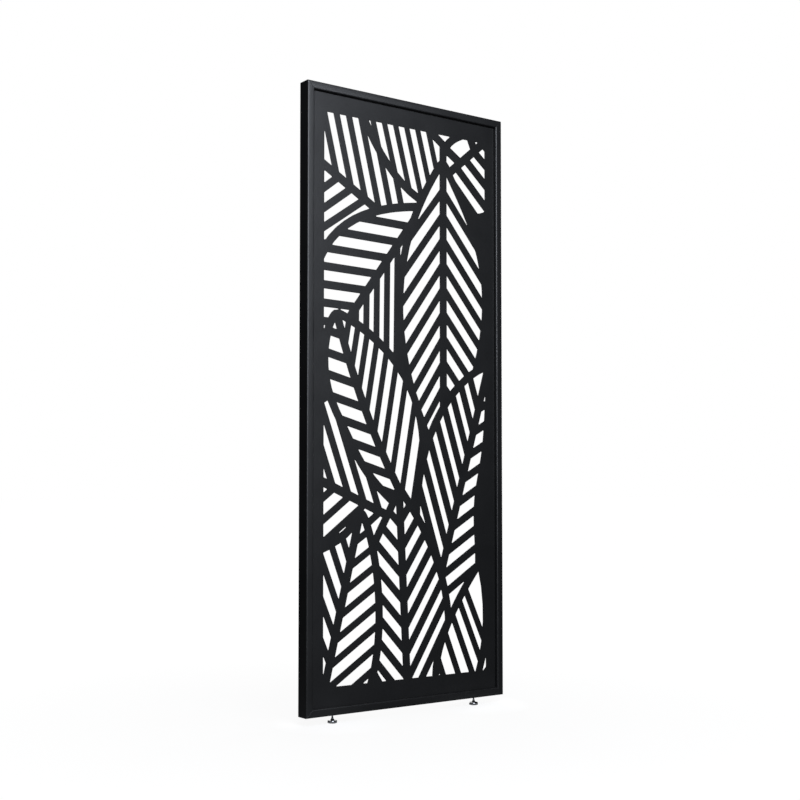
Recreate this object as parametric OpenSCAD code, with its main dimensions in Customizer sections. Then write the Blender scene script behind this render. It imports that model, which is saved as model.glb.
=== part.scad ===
// Free-standing screen: a laser cut leaf panel in a mitred tube frame, on two screw-in levelling feet.
// Millimetres. X runs across the screen, -Y is its front and Z is up from the floor.

/* [Frame] */
// Width over the frame
frame_w = 800; // [700:10:1200]
// Height of the frame, without the feet
frame_h = 2000; // [1600:10:2400]
// Depth of the frame profile, front to back
profile_d = 50; // [46:1:70]
// Width of the frame profile seen from the front
profile_w = 25; // [22:0.5:32]
// Wall of the frame profile
profile_wall = 2; // [2:0.1:2.4]
// Radius of the profile's outer corners
profile_r = 4; // [2:0.25:4]
// How far the panel sits behind the frame's front face
recess = 10; // [8:0.5:14]
// How far the fixing fin reaches in from the profile
fin_reach = 16; // [14:0.5:18]
// Thickness of the fixing fin
fin_t = 2; // [1.5:0.1:3]

/* [Panel] */
// Thickness of the panel's sheet
panel_t = 3; // [2:0.25:4]
// Shadow gap between the panel and the frame at the sides and top
panel_gap = 3.5; // [1:0.5:5]
// Clearance under the panel, above the bottom rail
panel_rest = 0.5; // [0.3:0.1:1]
// Solid border of the pattern at the sides, from the frame's outer face
side_border = 68; // [55:1:100]
// Solid border of the pattern at the top and bottom, from the frame's outer face
end_border = 88; // [60:1:140]

/* [Leaf pattern] */
// Width of the outline band round each leaf
rim_w = 28; // [18:0.5:36]
// Width of the midribs
midrib_w = 29; // [18:0.5:36]
// Width of the vein bars
vein_w = 24; // [14:0.5:28]
// Corner radius of the openings, and half the narrowest one that is cut
cut_r = 1.5; // [1:0.25:3]

/* [Panel fixings] */
// Diameter of the studs welded to the panel's back
stud_d = 4; // [3:0.5:5]
// Length of the welded studs
stud_len = 10; // [9:0.5:14]
// Clearance round a stud in its hole in the fin
stud_clear = 0.5; // [0.3:0.1:1]
// Width of the flange nuts across their flats
stud_nut_af = 7; // [7:0.5:9]
// Height of the flange nuts
stud_nut_h = 4.6; // [4:0.2:6]
// Flange diameter of the nuts
stud_flange_d = 10; // [9.5:0.5:12]
// Distance from a frame corner to the first stud
stud_corner = 130; // [100:5:200]
// Studs along each stile
stile_studs = 5; // [2:1:7]
// Studs along each rail
rail_studs = 3; // [2:1:5]

/* [Corner joints] */
// Length of each arm of the corner cleats
cleat_arm = 58; // [40:1:75]
// Gap between a cleat and the profile's walls
cleat_gap = 0.3; // [0.2:0.05:0.6]
// Wall left round the pockets of the cleats
cleat_wall = 4; // [3:0.5:6]
// Diameter of the cleat screws
screw_d = 5; // [4:0.5:6]
// Length of the cleat screws under the head
screw_len = 12; // [8:1:16]
// Head diameter of the cleat screws
screw_head_d = 9; // [8:0.5:12]
// Head height of the cleat screws
screw_head_h = 3; // [2:0.25:4]
// Distance of a cleat screw from the inside corner of the frame
screw_inset = 20; // [14:1:30]

/* [Feet] */
// Distance of each foot from the frame's side
foot_inset = 112.5; // [90:2.5:200]
// Height of the frame above the floor
foot_gap = 27; // [25:0.5:28]
// Diameter of the threaded spindles
spindle_d = 6; // [5:0.5:8]
// Pitch of the spindle thread
spindle_pitch = 1; // [0.8:0.05:1.25]
// Length of a spindle above its turning hexagon
spindle_len = 19; // [17:0.5:20]
// Turning hexagon of the spindles across its flats
hex_af = 8; // [8:0.5:12]
// Height of the turning hexagon
hex_h = 3; // [2:0.5:4]
// Diameter of the foot discs
disc_d = 30; // [25:1:45]
// Height of the foot discs' rim above the floor
disc_h = 9; // [9:0.25:10]
// Height of the cone on top of a foot disc
cone_h = 4; // [3:0.5:5]
// Radius of the rounded rim of the foot discs
disc_r = 3; // [1.5:0.25:3.5]
// Diameter of the ball at the lower end of a spindle
ball_d = 9; // [8.5:0.25:9.5]
// Running clearance of the ball in its socket and of the spindle in its bush
foot_clear = 0.1; // [0.05:0.01:0.1]
// Height of the rubber pads
pad_h = 2.5; // [2:0.25:4]
// How far the rubber pads stand out below the discs
pad_proud = 1; // [0.5:0.25:1.5]
// Body diameter of the threaded bushes
bush_d = 9; // [8.5:0.5:12]
// Length of the threaded bushes inside the rail
bush_len = 13; // [10:0.5:16]
// Flange diameter of the threaded bushes
bush_flange_d = 12; // [12:0.5:16]
// Flange thickness of the threaded bushes
bush_flange_t = 1; // [0.8:0.1:1.5]

/* [Hidden] */
$fn = 48;
frame_z = foot_gap;                       // underside of the frame
frame_top = frame_z + frame_h;
front_y = -profile_d / 2;
back_y = profile_d / 2;
panel_y = front_y + recess;               // front face of the panel
fin_y = panel_y + panel_t;                // the panel's back lies on the fin
open_w = frame_w - 2 * profile_w;         // opening between the profiles
open_h = frame_h - 2 * profile_w;
panel_w = open_w - 2 * panel_gap;
panel_h = open_h - panel_gap - panel_rest;
field_w = frame_w - 2 * side_border;      // the pattern's own rectangle
field_h = frame_h - 2 * end_border;
field_z = frame_z + end_border;
stud_x = profile_w + fin_reach / 2;       // studs, from the frame's outer faces
screw_y = (fin_y + fin_t + back_y) / 2;   // cleat screws, midway between fin and back
foot_x = frame_w / 2 - foot_inset;
pad_d = disc_d - 5;
ball_z = pad_h + 1 + foot_clear + ball_d / 2;
hex_z = disc_h + cone_h + 0.3;            // the hexagon turns just clear of the cone
neck_d = spindle_d - 0.8;
neck_hole_d = neck_d + 1.6;
NUT_FLANGE_T = 1.2;
SPINDLE_CHAMFER = 0.5;
RIM_FOOT_R = 1;
CONE_BASE_R = 7.5;
CONE_TOP_R = 4.6;
COAT = [0.13, 0.13, 0.14];
CAST = [0.62, 0.63, 0.65];
DARK = [0.2, 0.2, 0.2];
ZINC = [0.72, 0.73, 0.7];
CHROME = [0.8, 0.81, 0.82];
RUBBER = [0.08, 0.08, 0.08];

// ---- Leaf pattern -------------------------------------------------------------------------------
// The leaves are laid out on a field DRAWN_W wide and DRAWN_H high, whose lowest edge is at DRAWN_Z
// and whose middle is at X 0, and are stretched with the panel's own field. Bars keep their widths.
DRAWN_W = 664;
DRAWN_H = 1824;
DRAWN_Z = 88;
// Front to back. Each leaf: [base, tip, bow of the midrib to its left, left half, right half]
// Each half, seen from base to tip: [width, place of the greatest width, fullness of the curve,
//     distance of the first vein from the base, pitch, count, angle from the tip's direction,
//     turn from vein to vein, share of the vein width, how far it is pinched in at its middle]
LEAVES = [
    // lower left
    [[-356, -40], [-195, 620], 0,
        [400, 0.42, 4, 45, 80.7, 7, 39.5, -1, 0.95],
        [160, 0.32, 1.2, 38, 79.5, 8, 44, 0, 0.95]],
    // lower right corner
    [[240, -40], [312, 440], -52,
        [178, 0.36, 1.5, -48, 71, 5, 29.5, 1, 0.95],
        [60, 0.4, 1, 85, 110, 4, 40, 0, 1]],
    // tall lower leaf with an upright midrib
    [[3, -60], [-36, 690], 0,
        [168, 0.49, 2.6, 70, 83, 9, 39, 0.5, 1.05],
        [168, 0.43, 1.75, 54.5, 87, 8, 34.5, 0.5, 1.1]],
    // right, slanting to the top right
    [[95, 280], [340, 1115], 0,
        [166, 0.57, 1.83, 156, 81.8, 8, 34.5, 0, 1.1],
        [153, 0.1, 1.23, 55.5, 84.6, 9, 42, 0.5, 1.1, 0.3]],
    // left, with a curved midrib
    [[10, 630], [-279, 1255], 25,
        [104, 0.6, 1.8, 60, 81.5, 8, 48, 0.6, 1.12, 0.15],
        [185, 0.5, 1.9, -6, 75.4, 9, 35, 0, 0.88]],
    // tall leaf that hangs from the top
    [[148, 1800], [148, 780], 0,
        [172, 0.44, 2.7, 81, 83, 10, 40, 0, 1.05],
        [169, 0.475, 2.1, 77, 84, 11, 38.5, -0.7, 1]],
    // upper left, with level veins
    [[50, 1640], [-330, 1130], 0,
        [230, 0.5, 1.5, 156.5, 69, 5, 36, 0, 0.95],
        [191, 0.53, 1.95, 73, 71.4, 7, 55, 0, 1.1]],
    // left edge, middle
    [[-70, 617], [-480, 795], 0,
        [300, 0.5, 1, 46, 65, 5, 60, 0, 1],
        [330, 0.5, 1, 50, 65.5, 5, 46.5, 0, 1]],
    // top right
    [[480, 2042], [168, 1781], 0,
        [194, 0.69, 0.35, 206, 51, 5, 104, -2.4, 1.2],
        [66, 0.79, 4, 253, 82, 2, 106, -34, 1.3]],
    // top middle
    [[-250, 2150], [330, 1755], 0,
        [150, 0.5, 1.5, 60, 60, 1, 40, 0, 1],
        [213, 0.64, 1.5, 64, 67.8, 6, 40.5, 0, 0.85]],
    // top left
    [[60, 1513], [-520, 1850], 0,
        [330, 0.5, 1.5, 211, 59.5, 5, 63, 1.5, 1.05],
        [400, 0.5, 1, 74, 64.8, 8, 46, 0, 0.95]]
];
MIDRIB_STEPS = 8;
OUTLINE_STEPS = 28;
STEM = 85;

function turned(v) = [-v[1], v[0]];
function unit(v) = v / norm(v);
function place(p) = [p[0] * field_w / DRAWN_W, field_z + (p[1] - DRAWN_Z) * field_h / DRAWN_H];
// Point of a leaf's midrib: a straight line from base to tip, bowed sideways as a parabola
function midrib_point(leaf, t) =
    let (along = leaf[1] - leaf[0])
    leaf[0] + along * t + unit(turned(along)) * leaf[2] * 4 * t * (1 - t);
// Half width of a leaf at t: rises from the base to its greatest value and falls to the tip
function half_width(half, t) =
    let (m = half[1], f = half[2], pinch = len(half) > 9 ? half[9] : 0)
    half[0] * pow(pow(t / m, m) * pow((1 - t) / (1 - m), 1 - m), f)
        * (1 - pinch * pow(sin(180 * t), 6));
// The side is 1 for the left half of a leaf and -1 for the right half
function outline_point(leaf, side, t) =
    midrib_point(leaf, t)
    + unit(turned(leaf[1] - leaf[0])) * side * half_width(leaf[side > 0 ? 3 : 4], t);
// Steps that crowd towards both ends
function eased(i, n) = (1 - cos(180 * i / n)) / 2;
function blade(leaf) = [
    for (i = [0:OUTLINE_STEPS]) place(outline_point(leaf, 1, eased(i, OUTLINE_STEPS))),
    for (i = [OUTLINE_STEPS - 1:-1:1]) place(outline_point(leaf, -1, eased(i, OUTLINE_STEPS)))
];
// A band of even width along a line of points
function tangent(line, i) = unit(line[min(i + 1, len(line) - 1)] - line[max(i - 1, 0)]);
function band(line, width) = [
    for (i = [0:len(line) - 1]) line[i] + turned(tangent(line, i)) * width / 2,
    for (i = [len(line) - 1:-1:0]) line[i] - turned(tangent(line, i)) * width / 2
];
module vein(leaf, side, k) {
    half = leaf[side > 0 ? 3 : 4];
    along = leaf[1] - leaf[0];
    start = midrib_point(leaf, (half[3] + k * half[4]) / norm(along));
    angle = half[6] + k * half[7];
    heading = unit(along) * cos(angle) + unit(turned(along)) * side * sin(angle);
    reach = 1.6 * half[0] / sin(angle);
    polygon(band([place(start), place(start + heading * reach)], vein_w * half[8]));
}
module leaf_openings(leaf) {
    difference() {
        polygon(blade(leaf));
        polygon(band([for (i = [0:MIDRIB_STEPS]) place(midrib_point(leaf, i / MIDRIB_STEPS))], midrib_w));
        for (side = [-1, 1], k = [0:leaf[side > 0 ? 3 : 4][5] - 1]) vein(leaf, side, k);
    }
}
// The outline band of a leaf, with the stem that carries its midrib on beyond the base
module leaf_outline(leaf) {
    offset(r = rim_w) polygon(blade(leaf));
    stem = leaf[0] - unit(leaf[1] - leaf[0]) * STEM;
    polygon(band([place(leaf[0]), place(stem)], midrib_w));
}
module pattern() {
    for (i = [0:len(LEAVES) - 1])
        offset(r = cut_r, $fn = 8) offset(delta = -cut_r)
            difference() {
                intersection() {
                    translate([-field_w / 2, field_z]) square([field_w, field_h]);
                    leaf_openings(LEAVES[i]);
                }
                if (i > 0) for (j = [0:i - 1]) leaf_outline(LEAVES[j]);
            }
}
module laser_cut_panel() {
    color(COAT)
        translate([0, panel_y + panel_t, 0]) rotate([90, 0, 0])
            difference() {
                translate([-panel_w / 2, frame_z + profile_w + panel_rest, 0])
                    cube([panel_w, panel_h, panel_t]);
                translate([0, 0, -1]) linear_extrude(panel_t + 2) pattern();
            }
}

// ---- Frame --------------------------------------------------------------------------------------
// Section of the frame profile: X 0 is its outer face, X profile_w its inner face, Y as in the frame
module rounded(w, d, r) {
    translate([r, 0]) square([w - 2 * r, d]);
    translate([0, r]) square([w, d - 2 * r]);
    for (x = [r, w - r], y = [r, d - r]) translate([x, y]) circle(r);
}
module profile_section() {
    difference() {
        translate([0, front_y]) rounded(profile_w, profile_d, profile_r);
        translate([profile_wall, front_y + profile_wall])
            square([profile_w - 2 * profile_wall, profile_d - 2 * profile_wall]);
    }
    translate([profile_w - profile_wall / 2, fin_y]) square([profile_wall / 2 + fin_reach, fin_t]);
}
// A length of profile along Z from 0, with both ends mitred, whose outer face is at X 0
module profile(length) {
    reach = profile_w + fin_reach + 1;
    intersection() {
        linear_extrude(length) profile_section();
        translate([0, back_y + 1, 0]) rotate([90, 0, 0]) linear_extrude(profile_d + 2)
            polygon([[0, 0], [reach, reach], [reach, length - reach], [0, length]]);
    }
}
// Where things sit along a profile, from its lower or left end
function stud_at(length, n) = [for (i = [0:n - 1]) stud_corner + i * (length - 2 * stud_corner) / (n - 1)];
function screw_at(length) = [profile_w + screw_inset, length - profile_w - screw_inset];
module profile_holes(length, studs) {
    for (z = stud_at(length, studs))
        translate([stud_x, back_y, z]) rotate([90, 0, 0]) cylinder(d = stud_d + 2 * stud_clear, h = profile_d);
    for (z = screw_at(length))
        translate([profile_w - profile_wall - 1, screw_y, z]) rotate([0, 90, 0])
            cylinder(d = screw_d + 0.4, h = profile_wall + 2);
}
// The four members stand on the outer faces of the frame
module on_left() { translate([-frame_w / 2, 0, frame_z]) children(); }
module on_right() { translate([frame_w / 2, 0, frame_z]) mirror([1, 0, 0]) children(); }
module on_bottom() { translate([-frame_w / 2, 0, frame_z]) mirror([1, 0, 0]) rotate([0, -90, 0]) children(); }
module on_top() { translate([-frame_w / 2, 0, frame_top]) rotate([0, 90, 0]) children(); }
module stile() { difference() { profile(frame_h); profile_holes(frame_h, stile_studs); } }
module rail() { difference() { profile(frame_w); profile_holes(frame_w, rail_studs); } }
module left_stile() { color(COAT) on_left() stile(); }
module right_stile() { color(COAT) on_right() stile(); }
module top_rail() { color(COAT) on_top() rail(); }
module bottom_rail() {
    color(COAT) difference() {
        on_bottom() rail();
        for (side = [-1, 1]) translate([side * foot_x, 0, frame_z - 1]) cylinder(d = bush_d, h = profile_wall + 2);
    }
}

// ---- Corner cleats ------------------------------------------------------------------------------
// Cut from a hollow angle section: it fills the corner of two profiles and takes one screw in each arm
module angle_outline(inset) {
    thick = profile_w - 2 * (profile_wall + cleat_gap);
    polygon([
        [inset, inset], [cleat_arm - inset, inset], [cleat_arm - inset, thick - inset],
        [thick - inset, thick - inset], [thick - inset, cleat_arm - inset], [inset, cleat_arm - inset]
    ]);
}
// Lower left corner of the frame, measured from the outer faces
module cleat() {
    lay = profile_wall + cleat_gap;
    inner = profile_w - lay;                 // the arms' inner faces
    difference() {
        translate([lay, back_y - lay, lay]) rotate([90, 0, 0]) linear_extrude(profile_d - 2 * lay) difference() {
            angle_outline(0);
            angle_outline(cleat_wall);
        }
        translate([inner - cleat_wall - 1, screw_y, profile_w + screw_inset]) rotate([0, 90, 0])
            cylinder(d = screw_d, h = cleat_wall + 2);
        translate([profile_w + screw_inset, screw_y, inner - cleat_wall - 1]) cylinder(d = screw_d, h = cleat_wall + 2);
    }
}
module at_corner(right, top) {
    translate([(right ? 1 : -1) * frame_w / 2, 0, top ? frame_top : frame_z])
        mirror([right ? 1 : 0, 0, 0]) mirror([0, 0, top ? 1 : 0]) children();
}
module top_left_cleat() { color(CAST) at_corner(false, true) cleat(); }
module top_right_cleat() { color(CAST) at_corner(true, true) cleat(); }
module bottom_left_cleat() { color(CAST) at_corner(false, false) cleat(); }
module bottom_right_cleat() { color(CAST) at_corner(true, false) cleat(); }
// Cap screw along -Z from its seat at 0, with a hexagon socket in the head
module cap_screw() {
    difference() {
        union() {
            cylinder(d = screw_head_d, h = screw_head_h);
            translate([0, 0, -screw_len]) cylinder(d = screw_d, h = screw_len + 1);
        }
        translate([0, 0, screw_head_h * 0.4]) cylinder(d = screw_head_d * 0.5, h = screw_head_h, $fn = 6);
    }
}
module cleat_screws() {
    color(DARK) for (right = [false, true], top = [false, true]) at_corner(right, top) {
        translate([profile_w, screw_y, profile_w + screw_inset]) rotate([0, 90, 0]) cap_screw();
        translate([profile_w + screw_inset, screw_y, profile_w]) cap_screw();
    }
}

// ---- Panel fixings ------------------------------------------------------------------------------
// Every stud stands on the panel's back, inside the fin's hole
module at_studs() {
    for (z = stud_at(frame_h, stile_studs), side = [-1, 1])
        translate([side * (frame_w / 2 - stud_x), fin_y, frame_z + z]) rotate([-90, 0, 0]) children();
    for (x = stud_at(frame_w, rail_studs), z = [frame_z + stud_x, frame_top - stud_x])
        translate([x - frame_w / 2, fin_y, z]) rotate([-90, 0, 0]) children();
}
module panel_studs() { color(ZINC) at_studs() cylinder(d = stud_d, h = stud_len); }
module flange_nut() {
    translate([0, 0, fin_t]) difference() {
        union() {
            cylinder(d = stud_flange_d, h = NUT_FLANGE_T);
            cylinder(d = stud_nut_af / cos(30), h = stud_nut_h, $fn = 6);
        }
        translate([0, 0, -1]) cylinder(d = stud_d, h = stud_nut_h + 2);
    }
}
module panel_nuts() { color(ZINC) at_studs() flange_nut(); }

// ---- Feet ---------------------------------------------------------------------------------------
module at_foot(side) { translate([side * foot_x, 0, 0]) children(); }
// Threaded bush in the lower wall of the bottom rail, with its flange under the rail
module bush() {
    difference() {
        union() {
            translate([0, 0, frame_z - bush_flange_t]) cylinder(d = bush_flange_d, h = bush_flange_t);
            translate([0, 0, frame_z - bush_flange_t / 2]) cylinder(d = bush_d, h = bush_len + bush_flange_t / 2);
        }
        translate([0, 0, frame_z - bush_flange_t - 1])
            cylinder(d = spindle_d + 2 * foot_clear, h = bush_len + bush_flange_t + 2);
    }
}
module left_bush() { color(ZINC) at_foot(-1) bush(); }
module right_bush() { color(ZINC) at_foot(1) bush(); }
// Spindle with a ball at its lower end and a turning hexagon over the foot disc
module spindle() {
    translate([0, 0, ball_z]) sphere(d = ball_d);
    translate([0, 0, ball_z]) cylinder(d = neck_d, h = hex_z - ball_z + 1);
    translate([0, 0, hex_z]) cylinder(d = hex_af / cos(30), h = hex_h, $fn = 6);
    translate([0, 0, hex_z]) cylinder(d = spindle_d, h = hex_h + spindle_len - SPINDLE_CHAMFER);
    translate([0, 0, hex_z + hex_h + spindle_len - SPINDLE_CHAMFER])
        cylinder(d1 = spindle_d, d2 = spindle_d - 2 * SPINDLE_CHAMFER, h = SPINDLE_CHAMFER);
}
module left_spindle() { color(CHROME) at_foot(-1) spindle(); }
module right_spindle() { color(CHROME) at_foot(1) spindle(); }
// Half section of the foot disc: rounded rim, cone, socket for the ball and pocket for the pad
module foot_disc_section() {
    r = disc_d / 2;
    difference() {
        union() {
            translate([0, pad_proud]) square([r - disc_r, disc_h - pad_proud]);
            translate([0, pad_proud + RIM_FOOT_R]) square([r, disc_h - pad_proud - disc_r - RIM_FOOT_R]);
            translate([0, pad_proud]) square([r - RIM_FOOT_R, disc_h - pad_proud - disc_r]);
            translate([r - disc_r, disc_h - disc_r]) circle(disc_r);
            translate([r - RIM_FOOT_R, pad_proud + RIM_FOOT_R]) circle(RIM_FOOT_R);
            polygon([[0, disc_h - 1], [CONE_BASE_R, disc_h - 1], [CONE_BASE_R, disc_h],
                [CONE_TOP_R, disc_h + cone_h], [0, disc_h + cone_h]]);
        }
        translate([0, ball_z]) circle(ball_d / 2 + foot_clear);
        square([neck_hole_d / 2, ball_z + 2 * cone_h + disc_h], center = false);
        translate([0, -1]) square([pad_d / 2, 1 + pad_h]);
    }
    // Floor under the ball
    difference() {
        translate([0, pad_h]) square([neck_hole_d / 2 + 1, ball_z - pad_h]);
        translate([0, ball_z]) circle(ball_d / 2 + foot_clear);
    }
}
module foot_disc() {
    rotate_extrude() intersection() {
        foot_disc_section();
        square([disc_d, 2 * disc_h]);
    }
}
module left_foot_disc() { color(CHROME) at_foot(-1) foot_disc(); }
module right_foot_disc() { color(CHROME) at_foot(1) foot_disc(); }
module foot_pad() { cylinder(d = pad_d, h = pad_h); }
module left_foot_pad() { color(RUBBER) at_foot(-1) foot_pad(); }
module right_foot_pad() { color(RUBBER) at_foot(1) foot_pad(); }

laser_cut_panel();
left_stile();
right_stile();
top_rail();
bottom_rail();
top_left_cleat();
top_right_cleat();
bottom_left_cleat();
bottom_right_cleat();
cleat_screws();
panel_studs();
panel_nuts();
left_bush();
right_bush();
left_spindle();
right_spindle();
left_foot_disc();
right_foot_disc();
left_foot_pad();
right_foot_pad();
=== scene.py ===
"""Laser cut metal screen: surfaces, finishes and a plain studio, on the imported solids.

Lengths are in metres. X runs across the screen, -Y is its front and Z is up from the floor.
"""

import math

import bmesh
import bpy
import numpy as np
from bpy.props import FloatProperty, FloatVectorProperty, IntProperty, PointerProperty
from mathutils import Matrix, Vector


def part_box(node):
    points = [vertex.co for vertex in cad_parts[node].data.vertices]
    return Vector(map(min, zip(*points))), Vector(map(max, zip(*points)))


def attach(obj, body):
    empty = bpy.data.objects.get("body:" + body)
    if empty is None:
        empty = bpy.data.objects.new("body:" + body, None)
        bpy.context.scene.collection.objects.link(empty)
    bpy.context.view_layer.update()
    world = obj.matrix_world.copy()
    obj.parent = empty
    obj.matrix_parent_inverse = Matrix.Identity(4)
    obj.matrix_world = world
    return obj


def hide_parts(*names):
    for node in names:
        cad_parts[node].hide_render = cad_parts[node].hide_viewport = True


bl_info = {
    "name": "Laser Cut Metal Screen",
    "version": (1, 0, 0),
    "blender": (4, 5, 0),
    "location": "View3D > Sidebar > Screen",
    "description": "Dresses a laser cut leaf screen on levelling feet and sets it in a plain studio",
    "category": "Object",
}

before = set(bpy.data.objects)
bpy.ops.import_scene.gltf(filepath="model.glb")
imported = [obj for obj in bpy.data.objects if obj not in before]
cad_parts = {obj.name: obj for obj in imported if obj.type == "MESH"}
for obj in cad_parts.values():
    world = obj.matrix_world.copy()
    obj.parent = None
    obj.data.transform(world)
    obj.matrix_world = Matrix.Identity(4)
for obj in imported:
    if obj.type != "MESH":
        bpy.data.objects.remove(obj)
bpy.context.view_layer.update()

MEMBERS = ("left_stile", "right_stile", "top_rail", "bottom_rail")
CLEATS = ("top_left_cleat", "top_right_cleat", "bottom_left_cleat", "bottom_right_cleat")
SIDES = ("left", "right")

MM = 0.001
SAME_POINT = 1e-6
SAME_POLE = 1e-7
SMOOTH_CORNER = 32
BEVEL_CORNER = 28

# Sizes of the solids that their boxes don't give.
STUD_RADIUS = 0.002
NUT_FLANGE = 0.005
NUT_FLATS = 0.007
SPINDLE_RADIUS = 0.003
COLLAR_LOW, COLLAR_HIGH = 0.0133, 0.0163
COLLAR_FLATS = 0.008

# The ball of a foot and the socket in its disc, in millimetres above the floor.
BALL_MIDDLE = 8.1
BALL_RADIUS = 4.5
SOCKET_RADIUS = 4.6

SENSOR_WIDTH = 36.0
WHITE = (1, 1, 1, 1)


# ---- Sizes, finishes and studio -------------------------------------------------------------------


class ScreenSizes(bpy.types.PropertyGroup):
    """Sizes of the details that the solids leave out"""

    sheet_edge: FloatProperty(
        name="Sheet Edge Radius", description="Rounding that the coat gives the laser cut edges",
        default=0.0004, min=0.0001, max=0.001, unit="LENGTH", subtype="DISTANCE")
    profile_edge: FloatProperty(
        name="Profile Edge Radius", description="Rounding of the profile's sawn and extruded edges",
        default=0.0005, min=0.0001, max=0.0015, unit="LENGTH", subtype="DISTANCE")
    small_edge: FloatProperty(
        name="Fastener Edge Radius", description="Rounding of the edges of screws, cleats and bushes",
        default=0.00025, min=0.0001, max=0.0006, unit="LENGTH", subtype="DISTANCE")
    spindle_pitch: FloatProperty(
        name="Spindle Pitch", description="Pitch of the thread on the feet's spindles",
        default=0.001, min=0.0005, max=0.002, unit="LENGTH", subtype="DISTANCE")
    stud_pitch: FloatProperty(
        name="Stud Pitch", description="Pitch of the thread on the panel's studs",
        default=0.0007, min=0.0004, max=0.0012, unit="LENGTH", subtype="DISTANCE")
    thread_depth: FloatProperty(
        name="Thread Depth", description="Depth of a thread as a share of its pitch",
        default=0.6, min=0.3, max=0.7, subtype="FACTOR")
    around: IntProperty(
        name="Steps Around", description="Steps round the feet and spindles", default=96, min=24, max=192)


class ScreenFinishes(bpy.types.PropertyGroup):
    """Colours and gloss of the screen's finishes"""

    coat: FloatVectorProperty(
        name="Powder Coat", description="Colour of the satin black powder coat",
        default=(0.0057, 0.0060, 0.0066), size=3, min=0, max=1, subtype="COLOR")
    coat_roughness: FloatProperty(
        name="Coat Roughness", description="Roughness of the powder coat",
        default=0.45, min=0, max=1, subtype="FACTOR")
    nickel: FloatVectorProperty(
        name="Nickel", description="Colour of the bright nickel on the feet",
        default=(0.72, 0.73, 0.745), size=3, min=0, max=1, subtype="COLOR")
    zinc: FloatVectorProperty(
        name="Zinc", description="Colour of the zinc plate on nuts, studs and bushes",
        default=(0.60, 0.62, 0.63), size=3, min=0, max=1, subtype="COLOR")
    aluminium: FloatVectorProperty(
        name="Aluminium", description="Colour of the sawn corner cleats",
        default=(0.66, 0.67, 0.68), size=3, min=0, max=1, subtype="COLOR")
    oxide: FloatVectorProperty(
        name="Black Oxide", description="Colour of the blackened cleat screws",
        default=(0.035, 0.034, 0.034), size=3, min=0, max=1, subtype="COLOR")
    rubber: FloatVectorProperty(
        name="Rubber", description="Colour of the pads under the feet",
        default=(0.022, 0.022, 0.023), size=3, min=0, max=1, subtype="COLOR")


class ScreenStudio(bpy.types.PropertyGroup):
    """Camera and light"""

    lens: FloatProperty(
        name="Lens", description="Focal length on a 36 mm sensor, in millimetres",
        default=57.78, min=20, max=200)
    camera_place: FloatVectorProperty(
        name="Camera Place", description="Where the camera stands",
        default=(-2.5226, -3.4212, 0.7442), size=3, unit="LENGTH", subtype="TRANSLATION")
    heading: FloatProperty(
        name="Heading", description="Turn of the camera's line of sight from straight ahead towards +X",
        default=math.radians(36.148), unit="ROTATION", subtype="ANGLE")
    tilt: FloatProperty(
        name="Tilt", description="Upward tilt of the camera's line of sight",
        default=math.radians(2.516), unit="ROTATION", subtype="ANGLE")
    rise: FloatProperty(
        name="Vertical Shift", description="Upward shift of the picture", default=0.0375, min=-0.5, max=0.5)
    key_power: FloatProperty(
        name="Key Power", description="Power of the soft lamp at the upper left front, in watts",
        default=88, min=0, max=2000)
    ambient: FloatProperty(
        name="Ambient", description="Strength of the even light from all round", default=0.16, min=0, max=2)
    gloom: FloatProperty(
        name="Dark Surround", description="How bright the unlit studio shows in glossy surfaces",
        default=0.006, min=0, max=1)
    shade: FloatProperty(
        name="Shadow Depth", description="How far the floor near the screen may darken in its shadow",
        default=0.07, min=0, max=1, subtype="FACTOR")


# ---- Surfaces -------------------------------------------------------------------------------------


def skin(name, rows, loop=False):
    """Skins a grid of points, rows x columns x 3, whose columns go once round. With loop, the last row
    joins the first, as in a ring. Points that fall together at a pole are merged."""
    count, around = rows.shape[:2]
    row = np.arange(count if loop else count - 1)[:, None]
    column = np.arange(around)[None, :]
    here, above = row * around, (row + 1) % count * around
    beside = (column + 1) % around
    quads = np.stack([here + column, here + beside, above + beside, above + column], -1).reshape(-1, 4)
    mesh = bpy.data.meshes.new(name)
    mesh.from_pydata(rows.reshape(-1, 3), [], quads)
    work = bmesh.new()
    work.from_mesh(mesh)
    bmesh.ops.remove_doubles(work, verts=work.verts, dist=SAME_POLE)
    bmesh.ops.recalc_face_normals(work, faces=work.faces)
    work.to_mesh(mesh)
    work.free()
    return mesh


def revolve(profile, around):
    """Points of a profile of (radius, height) turned about Z: x = r cos a, y = r sin a, z = h, for angles
    a from 0 up to a full turn."""
    a = np.linspace(0, 2 * np.pi, around, endpoint=False)[None, :]
    r, h = profile[:, :1], profile[:, 1:]
    return np.stack([r * np.cos(a), r * np.sin(a), h + 0 * a], -1)


def arc(centre, radius, start, end, steps):
    """(radius, height) points of a circular arc in a half section: the centre plus the radius times
    (cos a, sin a), for angles a in degrees from outwards."""
    a = np.radians(np.linspace(start, end, steps))
    return np.stack([centre[0] + radius * np.cos(a), centre[1] + radius * np.sin(a)], -1)


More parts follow.
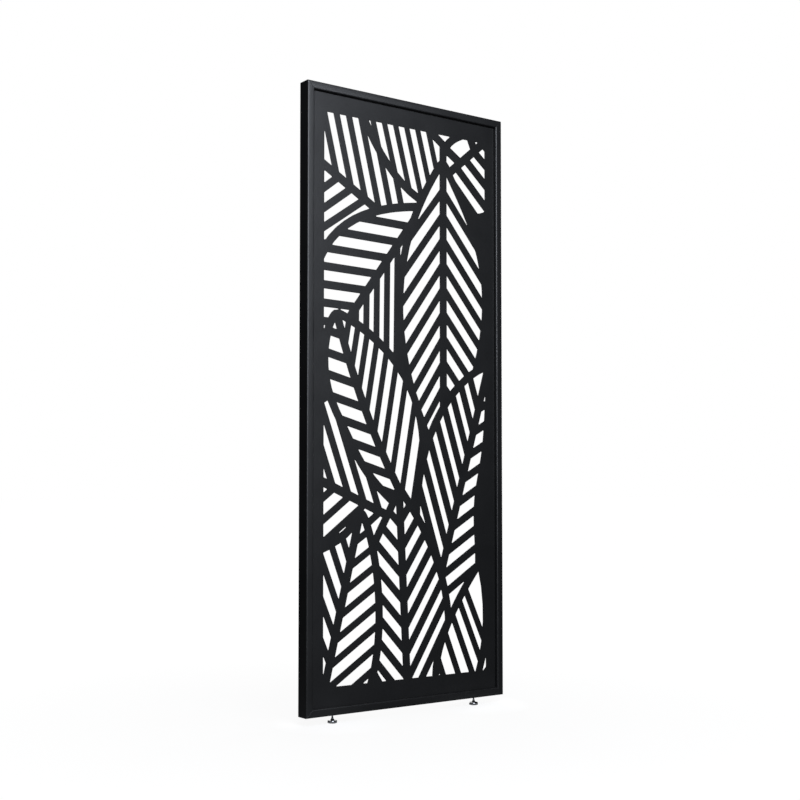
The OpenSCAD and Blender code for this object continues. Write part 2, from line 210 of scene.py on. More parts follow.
def threaded_rod(radius, low, high, pitch, depth, around):
    """Screw surface: the radius at angle a and height z is the crest less the depth times a flat-topped
    triangle wave of z / pitch - a / 360, faded out over one pitch at both ends. The upper end is chamfered
    by the depth, and flat discs close both ends."""
    rows_a_pitch, wave_top, wave_slope = 10, 1.25, 3.2
    chamfer_height = 0.8 * depth + 1e-9
    count = int(round((high - low) / pitch * rows_a_pitch)) + 1
    z = np.linspace(low, high, count)[:, None]
    a = np.linspace(0, 2 * np.pi, around, endpoint=False)[None, :]
    turn = (z / pitch - a / (2 * np.pi)) % 1
    groove = np.clip(wave_top - np.abs(turn - 0.5) * wave_slope, 0, 1)
    fade = np.clip((z - low) / pitch, 0, 1) * np.clip((high - z) / pitch, 0, 1)
    chamfer = depth * np.clip(1 - (high - z) / chamfer_height, 0, 1)
    r = radius - np.maximum(depth * groove * fade, chamfer)
    side = np.stack([r * np.cos(a), r * np.sin(a), z + 0 * a], -1)
    bottom, top = [np.zeros((1, around, 3)) + [0, 0, h] for h in (low, high)]
    return np.concatenate([bottom, side, top])


def hexagon(flats, low, high, bore, chamfer_low, chamfer_high, steps=12, around=96):
    """Chamfered hexagon: at each height its radius is the smaller of the hexagon's own,
    (flats / 2) / cos(a mod 60 - 30), and a cone of 30 degrees that starts just inside the flats' circle at
    each chamfered end. A round bore goes through it."""
    inside, cone_angle, no_chamfer = 0.985, math.radians(30), 1.0
    a = np.linspace(0, 2 * np.pi, around, endpoint=False)[None, :]
    own = flats / 2 / np.cos((a % (np.pi / 3)) - np.pi / 6)
    z = low + (high - low) * (1 - np.cos(np.linspace(0, np.pi, steps)))[:, None] / 2
    from_low = np.where(chamfer_low, z - low, no_chamfer)
    from_high = np.where(chamfer_high, high - z, no_chamfer)
    cone = flats / 2 * inside + 1 / math.tan(cone_angle) * np.minimum(from_low, from_high)
    r = np.minimum(own, cone)
    side = np.stack([r * np.cos(a), r * np.sin(a), z + 0 * a], -1)
    hole = revolve(np.array([[bore, high], [bore, low]]), around)
    return np.concatenate([side, hole])


def place(rows, at, axis="Z"):
    """Moves a surface made about Z to its place; axis Y lays it with its top towards +Y."""
    if axis == "Y":
        rows = np.stack([rows[..., 0], rows[..., 2], -rows[..., 1]], -1)
    return rows + np.asarray(at)


def join(name, meshes):
    """One object of several meshes that are already in place, smooth shaded with its corners kept."""
    work = bmesh.new()
    for mesh in meshes:
        work.from_mesh(mesh)
        bpy.data.meshes.remove(mesh)
    mesh = bpy.data.meshes.new(name)
    work.to_mesh(mesh)
    work.free()
    return show(name, mesh, SMOOTH_CORNER)


def show(name, mesh, corner):
    """Links a mesh as an object; edges sharper than the corner angle in degrees stay sharp."""
    mesh.shade_smooth()
    mesh.set_sharp_from_angle(angle=math.radians(corner))
    piece = bpy.data.objects.new(name, mesh)
    bpy.context.scene.collection.objects.link(piece)
    return piece


def merged_copy(solid, flats=False):
    """A copy of a solid's mesh with its loose triangles joined; with flats, each flat becomes one face."""
    flat_angle = math.radians(0.4)
    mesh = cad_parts[solid].data.copy()
    mesh.name = solid + "_finished"
    mesh.materials.clear()
    work = bmesh.new()
    work.from_mesh(mesh)
    bmesh.ops.remove_doubles(work, verts=work.verts, dist=SAME_POINT)
    if flats:
        bmesh.ops.dissolve_limit(
            work, angle_limit=flat_angle, use_dissolve_boundaries=False, verts=work.verts, edges=work.edges)
    work.to_mesh(mesh)
    work.free()
    return mesh


def rounded_copy(solid, radius, segments=2):
    """A merged copy of a solid whose edges sharper than the bevel's corner angle are rounded."""
    piece = show(solid + "_finished", merged_copy(solid, flats=True), BEVEL_CORNER)
    bevel = piece.modifiers.new("Rounded Edges", "BEVEL")
    bevel.width = radius
    bevel.segments = segments
    bevel.limit_method = "ANGLE"
    bevel.angle_limit = math.radians(BEVEL_CORNER)
    bevel.use_clamp_overlap = False
    bevel.harden_normals = True
    return piece


def rounded_sheet(solid, radius, steps=3):
    """The cut sheet with rounded arrises. Each corner P of a flat's outline has the mitre vector
    m = r (n1 + n2) / (1 + n1 . n2) of its two edges' normals into the metal. The flat's corner moves to
    P + m, the cut's corner sinks by r into the sheet, and quads follow the quarter arc between them,
    P + (m + d) - m cos t - d sin t, where d is the depth r along the sheet's thickness. At a sharp turn
    the divisor of m is kept from falling below the least share."""
    least_share = 0.3
    mesh = merged_copy(solid)
    count = len(mesh.vertices)
    spots = np.zeros(count * 3)
    corners = np.zeros(len(mesh.loops), np.int32)
    mesh.vertices.foreach_get("co", spots)
    mesh.loops.foreach_get("vertex_index", corners)
    bpy.data.meshes.remove(mesh)
    spots, faces = spots.reshape(-1, 3), corners.reshape(-1, 3)

    mitre, sink = np.zeros((count, 3)), np.zeros((count, 3))
    rims, flats, walls = [], [], np.ones(len(faces), bool)
    front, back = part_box(solid)
    for plane, outward in ((front[1], -1.0), (back[1], 1.0)):
        on = (np.abs(spots[:, 1] - plane) < SAME_POINT)[faces].all(1)
        walls &= ~on
        flats.append(faces[on])
        sides = np.concatenate([faces[on][:, pair] for pair in ([0, 1], [1, 2], [2, 0])]).astype(np.int64)
        rim = sides[~np.isin(sides @ [count, 1], sides @ [1, count])]
        rims.append(rim)
        run = spots[rim[:, 1]] - spots[rim[:, 0]]
        run /= np.linalg.norm(run, axis=1)[:, None]
        into = np.cross([0.0, outward, 0.0], run)
        leaving, coming = np.zeros((count, 3)), np.zeros((count, 3))
        leaving[rim[:, 0]], coming[rim[:, 1]] = into, into
        share = 1 + (leaving * coming).sum(1)
        mitre += radius * (leaving + coming) / np.maximum(share, least_share)[:, None]
        sink[rim[:, 0], 1] = -outward * radius

    levels = [spots + mitre + sink - mitre * math.cos(t) - sink * math.sin(t)
              for t in np.linspace(0, math.pi / 2, steps + 1)]
    start, end = np.concatenate(rims).T
    quads = np.concatenate([
        np.stack([start + k * count, end + k * count, end + (k + 1) * count, start + (k + 1) * count], 1)
        for k in range(steps)])
    flats = np.concatenate(flats) + steps * count
    mesh = bpy.data.meshes.new(solid + "_finished")
    mesh.from_pydata(np.concatenate(levels), [], flats.tolist() + faces[walls].tolist() + quads.tolist())
    work = bmesh.new()
    work.from_mesh(mesh)
    bmesh.ops.delete(work, geom=[v for v in work.verts if not v.link_faces], context="VERTS")
    work.to_mesh(mesh)
    work.free()
    piece = show(solid + "_finished", mesh, SMOOTH_CORNER)
    mesh.polygons.foreach_set("use_smooth", np.arange(len(mesh.polygons)) >= len(flats))
    return piece


def centre_of(solid):
    """Middle of a solid's box, in X and Y."""
    low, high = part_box(solid)
    return (low[0] + high[0]) / 2, (low[1] + high[1]) / 2


# ---- Finishes -------------------------------------------------------------------------------------


def socket(group, name, kind, into=True, default=None, low=None, high=None):
    """Adds one named input or output to a node group."""
    made = group.interface.new_socket(
        name=name, in_out="INPUT" if into else "OUTPUT", socket_type="NodeSocket" + kind)
    if default is not None:
        made.default_value = default
    if low is not None:
        made.min_value, made.max_value = low, high


def feed(tree, made, values):
    """Sets a node's inputs by name or number, each to a value or to a link from another node's socket."""
    for key, value in values.items():
        if isinstance(value, bpy.types.NodeSocket):
            tree.links.new(value, made.inputs[key])
        else:
            made.inputs[key].default_value = value


def node(tree, kind, values=None, **settings):
    """Adds a shader node, sets its properties, then its inputs."""
    made = tree.nodes.new("ShaderNode" + kind)
    for key, value in settings.items():
        setattr(made, key, value)
    feed(tree, made, values or {})
    return made


def new_group(name):
    """An empty shader node group with its input and output nodes."""
    group = bpy.data.node_groups.new(name, "ShaderNodeTree")
    return group, group.nodes.new("NodeGroupInput"), group.nodes.new("NodeGroupOutput")


def maths(tree, operation, *values):
    """Result of one arithmetic step on one to three values."""
    return node(tree, "Math", dict(enumerate(values)), operation=operation).outputs[0]


def remap(tree, value, start, end, low=0.0, high=1.0):
    """Carries a value over from the range start to end to the range low to high, and stops at its ends."""
    return node(tree, "MapRange", {
        "Value": value, "From Min": start, "From Max": end, "To Min": low, "To Max": high}).outputs[0]


def blend(tree, factor, first, second):
    """Mixes two colours. The colour sockets of a Mix node share their names, so they go by number."""
    return node(tree, "Mix", {"Factor": factor, 6: first, 7: second}, data_type="RGBA").outputs[2]


def tinted(colour, share):
    """A colour made darker or lighter, with its alpha."""
    return (*[min(c * share, 1) for c in colour], 1)


def noise(tree, where, scale, detail, roughness=0.5):
    """Factor of a noise texture read at a place, with its scale in cells a metre."""
    return node(tree, "TexNoise", {
        "Vector": where, "Scale": scale, "Detail": detail, "Roughness": roughness}).outputs["Fac"]


def relief_of(tree, height, strength, distance):
    """Normal of a surface that a height raises by up to a distance in metres."""
    return node(tree, "Bump", {"Height": height, "Strength": strength, "Distance": distance}).outputs[0]


def from_axis(tree, axes, aside):
    """Level distance from the nearer of two upright axes, which stand at plus and minus aside in X."""
    across = maths(tree, "SUBTRACT", maths(tree, "ABSOLUTE", axes[0]), aside)
    level = node(tree, "CombineXYZ", {0: across, 1: axes[1]}).outputs[0]
    return node(tree, "VectorMath", {0: level}, operation="LENGTH").outputs["Value"]


def powder_texture():
    """Height and cloudiness of a sprayed powder coat: fine orange peel over a slow swell of the sheet."""
    group, start, end = new_group("Powder Texture")
    socket(group, "Place", "Vector")
    socket(group, "Peel", "Float", default=1.0)
    socket(group, "Swell", "Float", default=1.0)
    socket(group, "Height", "Float", into=False)
    socket(group, "Cloud", "Float", into=False)
    socket(group, "Speck", "Float", into=False)
    given = start.outputs
    peel = noise(group, given["Place"], 480.0, 1.5, 0.45)
    grain = noise(group, given["Place"], 1900.0, 1.0)
    swell = noise(group, given["Place"], 5.5, 1.0, 0.4)
    cloud = noise(group, given["Place"], 9.0, 3.0, 0.55)
    speck = noise(group, given["Place"], 260.0, 0.0)
    fine = maths(group, "MULTIPLY", peel, given["Peel"])
    finer = maths(group, "MULTIPLY_ADD", grain, 0.25, fine)
    height = maths(group, "MULTIPLY_ADD", swell, given["Swell"], finer)
    feed(group, end, {"Height": height, "Cloud": cloud, "Speck": remap(group, speck, 0.70, 0.78)})
    return group


def settled_dust():
    """Mask of the dust that lies on faces that look up, broken up by noise."""
    group, start, end = new_group("Settled Dust")
    socket(group, "Place", "Vector")
    socket(group, "Amount", "Float", default=0.3, low=0.0, high=1.0)
    socket(group, "Mask", "Float", into=False)
    given = start.outputs
    up = node(group, "SeparateXYZ", {0: node(group, "NewGeometry").outputs["Normal"]}).outputs[2]
    level = remap(group, up, 0.55, 0.98)
    patch = remap(group, noise(group, given["Place"], 34.0, 4.0, 0.62), 0.35, 0.72)
    lying = maths(group, "MULTIPLY", level, patch)
    feed(group, end, {"Mask": maths(group, "MULTIPLY", lying, given["Amount"])})
    return group


def plated_texture():
    """Height and tone of plated metal: fine tool rings about an upright axis, with a broken polish."""
    group, start, end = new_group("Plated Texture")
    socket(group, "Place", "Vector")
    socket(group, "Axis Distance", "Float", default=0.0)
    socket(group, "Ring Scale", "Float", default=2500.0)
    socket(group, "Height", "Float", into=False)
    socket(group, "Tone", "Float", into=False)
    given = start.outputs
    axes = node(group, "SeparateXYZ", {0: given["Place"]}).outputs
    coil = maths(group, "ADD", axes[2], from_axis(group, axes, given["Axis Distance"]))
    along = maths(group, "MULTIPLY", coil, given["Ring Scale"])
    ring = node(group, "TexNoise", {"W": along, "Scale": 1.0, "Detail": 2.0}, noise_dimensions="1D")
    tone = noise(group, given["Place"], 160.0, 3.0, 0.6)
    feed(group, end, {"Height": ring.outputs["Fac"], "Tone": tone})
    return group


class Palette:
    """Builds each finish once, with the shared effects as node groups."""

    def __init__(self):
        self.powder = powder_texture()
        self.dust = settled_dust()
        self.plate = plated_texture()
        self.made = {}

    def start(self, name):
        """A material with its Principled shader and the object's own coordinates."""
        finish = bpy.data.materials.new(name)
        finish.use_nodes = True
        tree = finish.node_tree
        shader = tree.nodes["Principled BSDF"]
        where = node(tree, "TexCoord").outputs["Object"]
        self.made[name] = finish
        return finish, tree, shader, where

    def effect(self, tree, group, values):
        """Places a node group in a material with its own values."""
        made = tree.nodes.new("ShaderNodeGroup")
        made.node_tree = group
        feed(tree, made, values)
        return made.outputs

    def powder_coat(self, name, peel, swell):
        """Satin black powder coat: near-black with a cool cast, orange peel, cloudy gloss, light dust."""
        looks = bpy.context.scene.screen_finishes
        gloss = looks.coat_roughness
        dust_colour, dust_amount, dust_dulls = (0.10, 0.098, 0.095, 1), 0.15, 0.4
        fleck_amount, depth = 0.3, 0.0002
        finish, tree, shader, where = self.start(name)
        coat = self.effect(tree, self.powder, {"Place": where, "Peel": peel, "Swell": swell})
        dust = self.effect(tree, self.dust, {"Place": where, "Amount": dust_amount})["Mask"]
        tone = blend(tree, coat["Cloud"], tinted(looks.coat, 0.90), tinted(looks.coat, 1.12))
        fleck = maths(tree, "MULTIPLY", coat["Speck"], fleck_amount)
        flecked = blend(tree, fleck, tone, tinted(looks.coat, 1.9))
        rough = remap(tree, coat["Cloud"], 0.0, 1.0, gloss - 0.05, gloss + 0.06)
        feed(tree, shader, {
            "Base Color": blend(tree, dust, flecked, dust_colour),
            "Roughness": maths(tree, "MULTIPLY_ADD", dust, dust_dulls, rough),
            "Normal": relief_of(tree, coat["Height"], 0.5, depth),
            "Specular IOR Level": 1.0})
        return finish

    def paint_gap_shade(self, name):
        """Painted shade: near-black matt finish on the fin behind the panel, kept apart from the top coat,
        so that the gap round the panel reads dark as shade.
        """
        dark, light = (0.0022, 0.0022, 0.0024, 1), (0.0042, 0.0042, 0.0044, 1)
        finish, tree, shader, where = self.start(name)
        cloud = noise(tree, where, 40.0, 3.0, 0.6)
        feed(tree, shader, {
            "Base Color": blend(tree, cloud, dark, light),
            "Roughness": remap(tree, cloud, 0.0, 1.0, 0.8, 0.95),
            "Normal": relief_of(tree, noise(tree, where, 900.0, 2.0), 0.4, 0.0001),
            "Specular IOR Level": 0.12})
        return finish

    def plated(self, name, colour, roughness, spread, rings, relief, aside):
        """Plated metal with faint tool rings and a broken polish."""
        finish, tree, shader, where = self.start(name)
        plate = self.effect(tree, self.plate, {
            "Place": where, "Axis Distance": aside, "Ring Scale": rings})
        feed(tree, shader, {
            "Base Color": blend(tree, plate["Tone"], tinted(colour, 0.86), tinted(colour, 1.1)),
            "Roughness": remap(tree, plate["Tone"], 0.25, 0.75, roughness - spread, roughness + spread),
            "Normal": relief_of(tree, plate["Height"], relief, 0.00003),
            "Metallic": 1.0})
        return finish

    def grained(self, name, colour, roughness, metallic, stretch, scale, relief):
        """Sawn, blackened or moulded surface: a noise stretched along the piece sets tone and relief."""
        finish, tree, shader, where = self.start(name)
        drawn = node(tree, "Mapping", {"Vector": where, "Scale": stretch}).outputs[0]
        grain = noise(tree, drawn, scale, 4.0, 0.6)
        feed(tree, shader, {
            "Base Color": blend(tree, grain, tinted(colour, 0.75), tinted(colour, 1.25)),
            "Roughness": remap(tree, grain, 0.0, 1.0, roughness - 0.1, roughness + 0.1),
            "Normal": relief_of(tree, grain, relief, 0.0001),
            "Metallic": metallic})
        return finish


palette = None


def finishes():
    """The finishes, built when the first piece asks for one."""
    global palette
    if palette is not None:
        return palette.made
    palette = Palette()
    looks = bpy.context.scene.screen_finishes
    foot_x = abs(centre_of("left_foot_disc")[0])
    even, sawn = (1.0, 1.0, 1.0), (1.0, 9.0, 1.0)
    palette.powder_coat("Sheet Powder Coat", peel=1.0, swell=6.0)
    palette.powder_coat("Profile Powder Coat", peel=0.8, swell=3.0)
    # Painted shade: near-black matt on the fin, which darkens the gap round the panel.
    palette.paint_gap_shade("Fin Painted Shade")
    palette.plated(
        "Bright Nickel", looks.nickel, roughness=0.16, spread=0.05, rings=2600.0, relief=0.25, aside=foot_x)
    palette.plated(
        "Satin Nickel", looks.nickel, roughness=0.5, spread=0.06, rings=2600.0, relief=0.2, aside=foot_x)
    palette.plated(
        "Zinc Plate", looks.zinc, roughness=0.34, spread=0.08, rings=3000.0, relief=0.2, aside=foot_x)
    palette.grained(
        "Sawn Aluminium", looks.aluminium,
        roughness=0.42, metallic=1.0, stretch=sawn, scale=220.0, relief=0.4)
    palette.grained(
        "Black Oxide", looks.oxide,
        roughness=0.45, metallic=0.6, stretch=even, scale=900.0, relief=0.3)
    palette.grained(
        "Moulded Rubber", looks.rubber,
        roughness=0.78, metallic=0.0, stretch=even, scale=1400.0, relief=0.6)
    return palette.made


def paint(piece, name):
    """Gives a piece one finish."""
    piece.data.materials.clear()
    piece.data.materials.append(finishes()[name])


# ---- Operators ------------------------------------------------------------------------------------


class SCREEN_OT_panel(bpy.types.Operator):
    """Round the laser cut panel's edges and coat it"""

    bl_idname = "screen.panel"
    bl_label = "Laser Cut Panel"

    def execute(self, context):
        panel = rounded_sheet("laser_cut_panel", context.scene.screen_sizes.sheet_edge)
        paint(panel, "Sheet Powder Coat")
        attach(panel, "screen")
        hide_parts("laser_cut_panel")
        return {"FINISHED"}


class SCREEN_OT_frame(bpy.types.Operator):
    """Round the four mitred members' edges and coat them"""

    bl_idname = "screen.frame"
    bl_label = "Mitred Frame"

    def execute(self, context):
        for name in MEMBERS:
            member = rounded_copy(name, context.scene.screen_sizes.profile_edge, segments=3)
            paint(member, "Profile Powder Coat")
            # The fin's faces in the gap round the panel get the painted shade.
            shade_fin_bed(member)
            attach(member, "screen")
            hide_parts(name)
        return {"FINISHED"}


def shade_fin_bed(member):
    """Gives the faces that the panel is bedded on, level with its back and facing forwards, the painted
    shade finish that darkens the gap round the panel.
    """
    forwards, level = -0.9, 0.0005
    mesh = member.data
    mesh.materials.append(finishes()["Fin Painted Shade"])
    count = len(mesh.polygons)
    facing, middle = np.zeros(count * 3), np.zeros(count * 3)
    mesh.polygons.foreach_get("normal", facing)
    mesh.polygons.foreach_get("center", middle)
    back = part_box("laser_cut_panel")[1][1]
    facing, middle = facing.reshape(-1, 3), middle.reshape(-1, 3)
    bed = (facing[:, 1] < forwards) & (np.abs(middle[:, 1] - back) < level)
    mesh.polygons.foreach_set("material_index", bed.astype(np.int32))


class SCREEN_OT_corner_joints(bpy.types.Operator):
    """Finish the corner cleats and their screws"""

    bl_idname = "screen.corner_joints"
    bl_label = "Corner Joints"

    def execute(self, context):
        for name in CLEATS:
            paint(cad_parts[name], "Sawn Aluminium")
        screws = rounded_copy("cleat_screws", context.scene.screen_sizes.small_edge)
        paint(screws, "Black Oxide")
        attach(screws, "screen")
        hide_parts("cleat_screws")
        return {"FINISHED"}


class SCREEN_OT_panel_fixings(bpy.types.Operator):
    """Make the threaded studs and flange nuts behind the fin"""

    bl_idname = "screen.panel_fixings"
    bl_label = "Panel Fixings"

    def execute(self, context):
        places = stud_places()
        self.studs(places, context.scene.screen_sizes)
        self.nuts(places)
        return {"FINISHED"}

    def studs(self, places, sizes):
        """Threaded studs that stand on the panel's back."""
        around = 20
        low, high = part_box("panel_studs")
        depth = sizes.stud_pitch * sizes.thread_depth
        rod = threaded_rod(STUD_RADIUS, 0.0, high[1] - low[1], sizes.stud_pitch, depth, around)
        piece = join("panel_studs_threaded", [
            skin("stud", place(rod, (x, low[1], z), "Y")) for x, z in places])
        paint(piece, "Zinc Plate")
        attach(piece, "screen")
        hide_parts("panel_studs")

    def nuts(self, places):
        """Flange nuts: a washer with a rounded rim and a sloping top, and a hexagon that stands in it."""
        around, steps = 48, 8
        rim, slope_top, body_foot = 0.0004, 0.0014, 0.0012
        slope_end = NUT_FLATS / 2 * 0.97
        low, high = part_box("panel_nuts")
        washer = revolve(np.concatenate([
            [[STUD_RADIUS, 0.0]],
            arc((NUT_FLANGE - rim, rim), rim, -90, 0, 4),
            arc((NUT_FLANGE - rim, 2 * rim), rim, 0, 80, 4),
            [[slope_end, slope_top], [STUD_RADIUS, slope_top]],
        ]), around)
        body = hexagon(
            NUT_FLATS, body_foot, high[1] - low[1], STUD_RADIUS, chamfer_low=False, chamfer_high=True,
            steps=steps, around=around)
        made = []
        for x, z in places:
            at = (x, low[1], z)
            made.append(skin("washer", place(washer, at, "Y"), loop=True))
            made.append(skin("body", place(body, at, "Y"), loop=True))
        piece = join("panel_nuts_formed", made)
        paint(piece, "Zinc Plate")
        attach(piece, "screen")
        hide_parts("panel_nuts")


def stud_places():
    """(x, z) of every stud: the middles of the separate solids of the studs' node. Points are sorted into
    cells, and what lies round a cell belongs to one stud."""
    cell, reach, same = 0.02, 0.012, 0.004
    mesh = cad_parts["panel_studs"].data
    work = bmesh.new()
    work.from_mesh(mesh)
    bmesh.ops.remove_doubles(work, verts=work.verts, dist=SAME_POINT)
    spots = np.array([v.co[:] for v in work.verts])
    work.free()
    found = []
    for key in np.unique(np.round(spots[:, [0, 2]] / cell).astype(int), axis=0):
        near = spots[(np.abs(spots[:, [0, 2]] - key * cell) < reach).all(1)]
        middle = (near.min(0) + near.max(0)) / 2
        if not any(abs(middle[0] - x) < same and abs(middle[2] - z) < same for x, z in found):
            found.append((middle[0], middle[2]))
    return found


def disc_section():
    """(radius, height) outline of a foot's disc, in millimetres until the last step: the mouth of the
    socket, the cone, the shoulder and rim, the pad's recess, and the socket round the ball."""
    return np.concatenate([
        [[3.4, 12.75], [3.65, 13.0]],
        arc((4.2, 12.6), 0.4, 90, 36, 5),
        [[7.2, 9.35]],
        arc((7.9, 9.5), 0.5, 214, 270, 5),
        arc((12.0, 6.0), 3.0, 90, 0, 14),
        arc((14.4, 1.6), 0.6, 0, -90, 6),
        [[12.5, 1.0], [12.5, 2.5], [0.0, 2.5], [0.0, 3.5]],
        arc((0.0, BALL_MIDDLE), SOCKET_RADIUS, -84, 42, 16),
        [[3.4, 11.3]],
    ]) * MM


def pad_section():
    """(radius, height) outline of a rubber pad, in millimetres until the last step: the hollow middle, a
    groove, the rounded edge and the flat top."""
    return np.concatenate([
        [[0.0, 0.3], [4.5, 0.3], [4.8, 0.0]],
        [[8.2, 0.0], [8.5, 0.3], [9.5, 0.3], [9.8, 0.0]],
        arc((12.1, 0.4), 0.4, -90, 0, 5),
        [[12.5, 2.5], [0.0, 2.5]],
    ]) * MM


def ball_section():
    """(radius, height) outline of the ball and its neck, which ends inside the collar, in millimetres
    until the last step."""
    return np.concatenate([
        arc((0.0, BALL_MIDDLE), BALL_RADIUS, -90, 54.7, 24),
        [[2.6, 13.5], [0.0, 13.5]],
    ]) * MM


class SCREEN_OT_feet(bpy.types.Operator):
    """Make the two levelling feet: threaded spindles, nickel discs, rubber pads and bushes"""

    bl_idname = "screen.feet"
    bl_label = "Levelling Feet"

    def execute(self, context):
        sizes = context.scene.screen_sizes
        for side in SIDES:
            at = (*centre_of(side + "_foot_disc"), 0.0)
            self.disc(side, at, sizes)
            self.pad(side, at, sizes)
            self.spindle(side, at, sizes)
            self.bush(side, sizes)
        return {"FINISHED"}

    def disc(self, side, at, sizes):
        """Turned disc with a cone on top, which holds the ball."""
        rows = place(revolve(disc_section(), sizes.around), at)
        disc = join(side + "_foot_disc_turned", [skin("disc", rows, loop=True)])
        paint(disc, "Bright Nickel")
        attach(disc, side + "_foot")
        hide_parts(side + "_foot_disc")

    def pad(self, side, at, sizes):
        """Rubber pad in the disc's recess."""
        rows = place(revolve(pad_section(), sizes.around), at)
        pad = join(side + "_foot_pad_moulded", [skin("pad", rows)])
        paint(pad, "Moulded Rubber")
        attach(pad, side + "_foot")
        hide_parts(side + "_foot_pad")

    def spindle(self, side, at, sizes):
        """A ball, a hexagon collar on its neck, and a threaded rod that starts inside the collar."""
        sunk, collar_bore, rod_around, ball_around = 0.0004, 0.0004, 64, 48
        low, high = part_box(side + "_spindle")
        pitch = sizes.spindle_pitch
        rod = threaded_rod(
            SPINDLE_RADIUS, COLLAR_HIGH - sunk, high[2], pitch, pitch * sizes.thread_depth, rod_around)
        collar = hexagon(
            COLLAR_FLATS, COLLAR_LOW, COLLAR_HIGH, collar_bore, chamfer_low=True, chamfer_high=True)
        ball = revolve(ball_section(), ball_around)
        spindle = join(side + "_spindle_threaded", [
            skin("rod", place(rod, at)),
            skin("collar", place(collar, at), loop=True),
            skin("ball", place(ball, at))])
        paint(spindle, "Satin Nickel")
        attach(spindle, side + "_screw")
        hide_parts(side + "_spindle")

    def bush(self, side, sizes):
        """Threaded bush in the bottom rail's lower wall."""
        bush = rounded_copy(side + "_bush", sizes.small_edge)
        paint(bush, "Zinc Plate")
        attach(bush, "screen")
        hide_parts(side + "_bush")


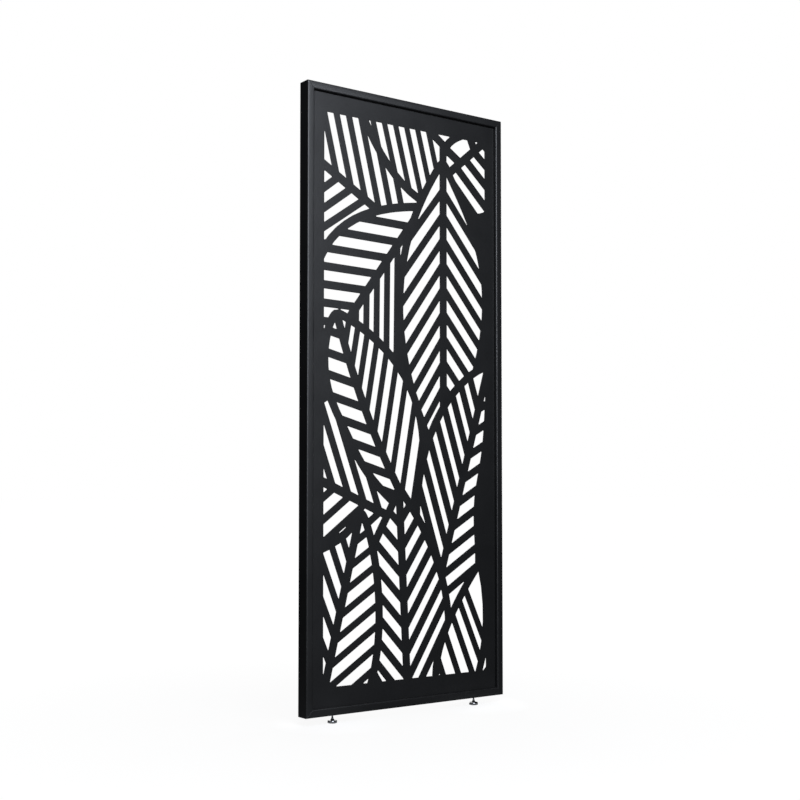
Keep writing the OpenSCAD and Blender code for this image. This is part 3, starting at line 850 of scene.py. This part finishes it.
class SCREEN_OT_studio(bpy.types.Operator):
    """Set up the pale floor, the soft lamps and the camera"""

    bl_idname = "screen.studio"
    bl_label = "Studio"

    def execute(self, context):
        studio = context.scene.screen_studio
        self.floor(context, studio)
        self.world(context, studio)
        self.lamps(context, studio)
        self.camera(context, studio)
        context.scene.view_settings.view_transform = "Standard"
        return {"FINISHED"}

    def floor(self, context, studio):
        """Pale floor: white to the camera and, near the screen, a little less than white before the lamps'
        light is added, so that the shadow stays. Round each foot the floor is paler, painted light for the
        nickel feet to reflect, and its glow to the camera sinks by half of that grey."""
        reach = 60.0
        shadow_start, shadow_end = 0.5, 1.8
        foot_start, foot_end, foot_patch_grey, foot_glow = 0.05, 0.20, 0.22, -0.5
        far_grey, near_grey = 0.02, 0.06
        mesh = bpy.data.meshes.new("floor")
        corners = [(-reach, -reach, 0), (reach, -reach, 0), (reach, reach, 0), (-reach, reach, 0)]
        mesh.from_pydata(corners, [], [(0, 1, 2, 3)])
        ground = bpy.data.objects.new("floor", mesh)
        context.scene.collection.objects.link(ground)

        finish = bpy.data.materials.new("Pale Floor")
        finish.use_nodes = True
        tree = finish.node_tree
        shader = tree.nodes["Principled BSDF"]
        spot = node(tree, "TexCoord").outputs["Object"]
        away = node(tree, "VectorMath", {0: spot}, operation="LENGTH").outputs["Value"]
        near = remap(tree, away, shadow_start, shadow_end, 1.0, 0.0)
        axes = node(tree, "SeparateXYZ", {0: spot}).outputs
        from_foot = from_axis(tree, axes, abs(centre_of("left_foot_disc")[0]))
        # Painted light: the floor is paler within 20 cm of each foot's axis, for the feet to reflect.
        by_foot = remap(tree, from_foot, foot_start, foot_end, foot_patch_grey, 0.0)
        grey = maths(tree, "ADD", remap(tree, near, 0.0, 1.0, far_grey, near_grey), by_foot)
        feed(tree, shader, {"Base Color": grey, "Roughness": 0.9, "Specular IOR Level": 0.0})

        shaded = remap(tree, near, 0.0, 1.0, 1.0, 1.0 - studio.shade)
        # Near each foot the glow sinks by half the added grey, so the paler patch reads white where lit and
        # darker in the foot's shadow.
        level = maths(tree, "MULTIPLY_ADD", by_foot, foot_glow, shaded)
        seen = maths(tree, "MULTIPLY", node(tree, "LightPath").outputs["Is Camera Ray"], level)
        glow = node(tree, "Emission", {"Color": WHITE, "Strength": seen}).outputs[0]
        both = node(tree, "AddShader", {0: shader.outputs[0], 1: glow}).outputs[0]
        feed(tree, tree.nodes["Material Output"], {"Surface": both})
        mesh.materials.append(finish)

    def world(self, context, studio):
        """White to the camera; dim and even as light; in gloss a dark studio with a round white backdrop,
        which lies behind the screen, left of the camera's line of sight and 10 degrees up."""
        aside, level, up = 0.245, 0.985, 0.174
        edge, full = 0.961, 0.977
        world = bpy.data.worlds.new("Studio")
        context.scene.world = world
        world.use_nodes = True
        tree = world.node_tree
        tree.nodes.clear()
        rays = node(tree, "LightPath").outputs
        turn = studio.heading - aside
        line = (level * math.sin(turn), level * math.cos(turn), up)
        sight = node(tree, "TexCoord").outputs["Generated"]
        behind = node(tree, "VectorMath", {0: sight, 1: line}, operation="DOT_PRODUCT").outputs["Value"]
        card = remap(tree, behind, edge, full, studio.gloom, 1.0)
        seen = node(tree, "Background", {"Color": WHITE, "Strength": 1.0}).outputs[0]
        room = node(tree, "Background", {"Color": WHITE, "Strength": studio.ambient}).outputs[0]
        shine = node(tree, "Background", {"Color": WHITE, "Strength": card}).outputs[0]
        unseen = node(tree, "MixShader", {0: rays["Is Glossy Ray"], 1: room, 2: shine}).outputs[0]
        straight = maths(tree, "MAXIMUM", rays["Is Camera Ray"], rays["Is Transmission Ray"])
        mix = node(tree, "MixShader", {0: straight, 1: unseen, 2: seen}).outputs[0]
        feed(tree, tree.nodes.new("ShaderNodeOutputWorld"), {"Surface": mix})

    def lamps(self, context, studio):
        """One large softbox at the upper left front, and weaker ones behind and at the right side. A row
        has the lamp's name, place, the spot it points at, its width and height, power and colour."""
        cool, white = (0.87, 0.915, 1.0), (1.0, 1.0, 1.0)
        key = studio.key_power
        for name, spot, target, wide, tall, power, colour in (
            ("softbox", (-0.90, -2.19, 2.25), (-0.27, 0.0, 1.02), 2.2, 2.6, key, cool),
            ("back_softbox", (1.5, 2.6, 2.3), (0.0, 0.0, 1.0), 1.6, 1.6, key * 0.5, white),
            ("side_softbox", (2.9, 0.45, 1.5), (0.4, 0.0, 1.1), 0.9, 1.8, key * 0.35, white),
        ):
            lamp = bpy.data.lights.new(name, "AREA")
            lamp.shape = "RECTANGLE"
            lamp.size, lamp.size_y = wide, tall
            lamp.energy = power
            lamp.color = colour
            holder = bpy.data.objects.new(name, lamp)
            holder.location = spot
            line = [t - s for t, s in zip(target, spot)]
            across = math.hypot(line[0], line[1])
            turn = math.atan2(line[1], line[0]) - math.pi / 2
            holder.rotation_euler = (math.atan2(across, -line[2]), 0, turn)
            context.scene.collection.objects.link(holder)

    def camera(self, context, studio):
        """The photograph's camera. Its lens, place, heading and tilt come from a least-squares fit that
        began with the frame's corners in the picture. A tilt and an upward shift share the work of raising
        the view, which keeps the uprights nearly parallel."""
        lens = bpy.data.cameras.new("camera")
        lens.lens = studio.lens
        lens.sensor_width = SENSOR_WIDTH
        lens.sensor_fit = "HORIZONTAL"
        lens.shift_y = studio.rise
        lens.clip_end = 200.0
        eye = bpy.data.objects.new("camera", lens)
        eye.location = studio.camera_place
        eye.rotation_euler = (math.pi / 2 + studio.tilt, 0, -studio.heading)
        context.scene.collection.objects.link(eye)
        context.scene.camera = eye


class SCREEN_PT_sidebar(bpy.types.Panel):
    """Lists the screen's pieces, sizes and finishes"""

    bl_idname = "SCREEN_PT_sidebar"
    bl_label = "Laser Cut Screen"
    bl_space_type = "VIEW_3D"
    bl_region_type = "UI"
    bl_category = "Screen"

    def draw(self, context):
        for operator in OPERATORS:
            self.layout.operator(operator.bl_idname)
        scene = context.scene
        for group in (scene.screen_sizes, scene.screen_finishes, scene.screen_studio):
            box = self.layout.box()
            for name in group.__annotations__:
                box.prop(group, name)


OPERATORS = (
    SCREEN_OT_studio, SCREEN_OT_panel, SCREEN_OT_frame, SCREEN_OT_corner_joints, SCREEN_OT_panel_fixings,
    SCREEN_OT_feet)
CLASSES = (ScreenSizes, ScreenFinishes, ScreenStudio, *OPERATORS, SCREEN_PT_sidebar)


def register():
    for kind in CLASSES:
        bpy.utils.register_class(kind)
    bpy.types.Scene.screen_sizes = PointerProperty(type=ScreenSizes)
    bpy.types.Scene.screen_finishes = PointerProperty(type=ScreenFinishes)
    bpy.types.Scene.screen_studio = PointerProperty(type=ScreenStudio)


def unregister():
    del bpy.types.Scene.screen_studio
    del bpy.types.Scene.screen_finishes
    del bpy.types.Scene.screen_sizes
    for kind in reversed(CLASSES):
        bpy.utils.unregister_class(kind)


def main():
    """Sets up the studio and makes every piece."""
    register()
    bpy.ops.screen.studio()
    bpy.ops.screen.panel()
    bpy.ops.screen.frame()
    bpy.ops.screen.corner_joints()
    bpy.ops.screen.panel_fixings()
    bpy.ops.screen.feet()


if __name__ == "__main__":
    main()
